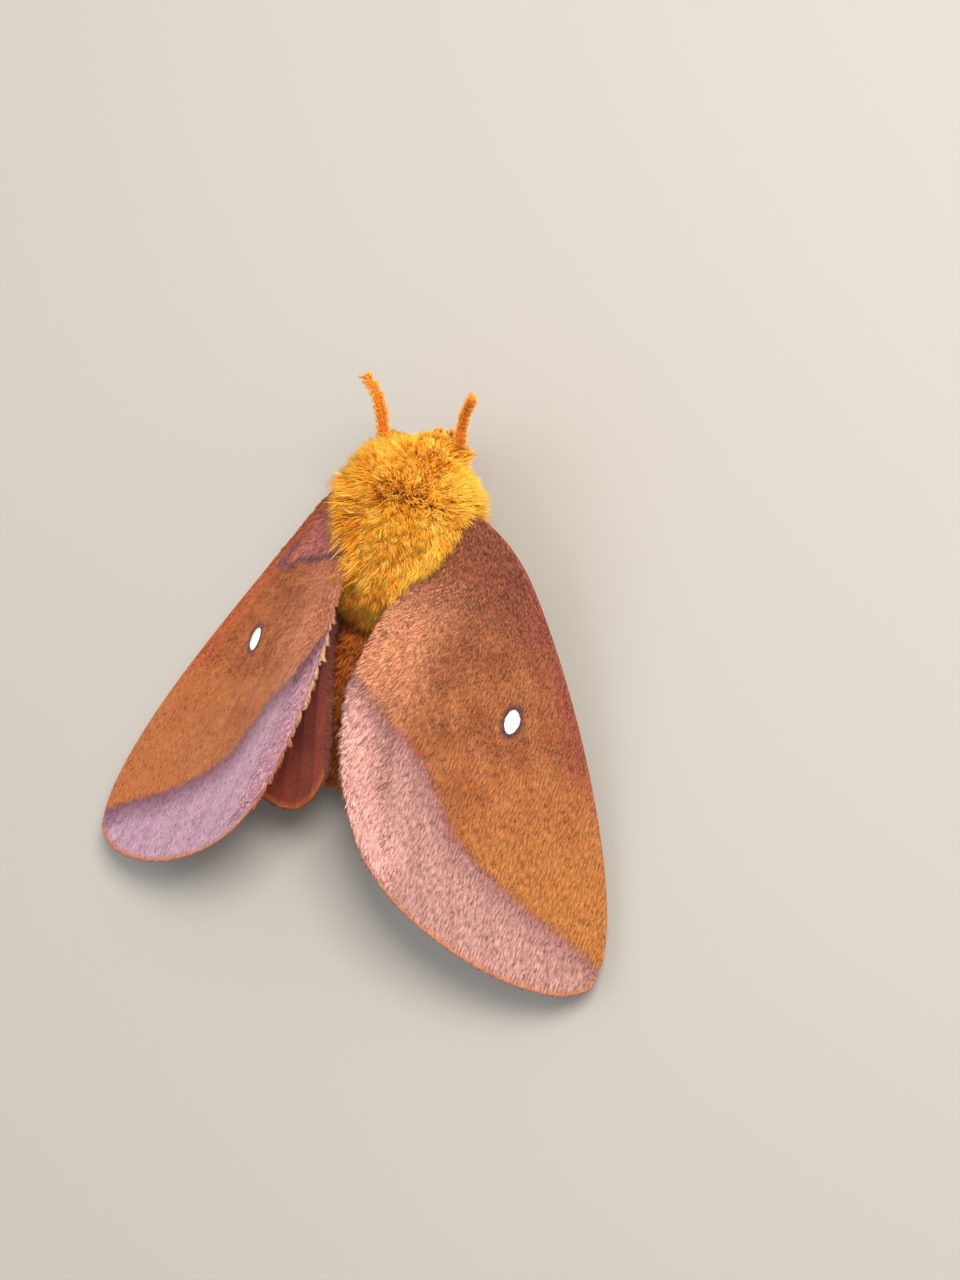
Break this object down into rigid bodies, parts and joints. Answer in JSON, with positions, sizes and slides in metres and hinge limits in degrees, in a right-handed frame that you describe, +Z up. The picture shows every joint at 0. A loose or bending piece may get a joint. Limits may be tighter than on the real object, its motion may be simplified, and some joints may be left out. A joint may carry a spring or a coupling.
{
  "type": "moth",
  "caption": "Life-size shaggy orange moth at rest, with long wings folded like a roof over its body, thick felted feelers and folded legs.",
  "frame": {"origin": "on the floor under the middle of the moth's box", "axes": "+Y from the tail towards the head, +Z up from the floor, +X to the moth's right"},
  "size_m": [0.0362, 0.035, 0.0101],
  "materials": {
    "coat": "dense orange hair",
    "wing": "fine matt scales, orange-brown and lilac pink",
    "hindwing": "fine matt scales, brick pink",
    "limb": "short orange scales",
    "eye": "glossy dark brown"
  },
  "bodies": {
    "root": {"head": "coat", "eye_left": "eye", "eye_right": "eye", "antenna_left": "limb", "antenna_right": "limb", "thorax": "coat", "abdomen": "coat", "forewing_left": "wing", "forewing_right": "wing", "hindwing_left": "hindwing", "hindwing_right": "hindwing", "leg_fore_left": "limb", "leg_fore_right": "limb", "leg_middle_left": "limb", "leg_middle_right": "limb", "leg_hind_left": "limb", "leg_hind_right": "limb"}
  },
  "joints": []
}
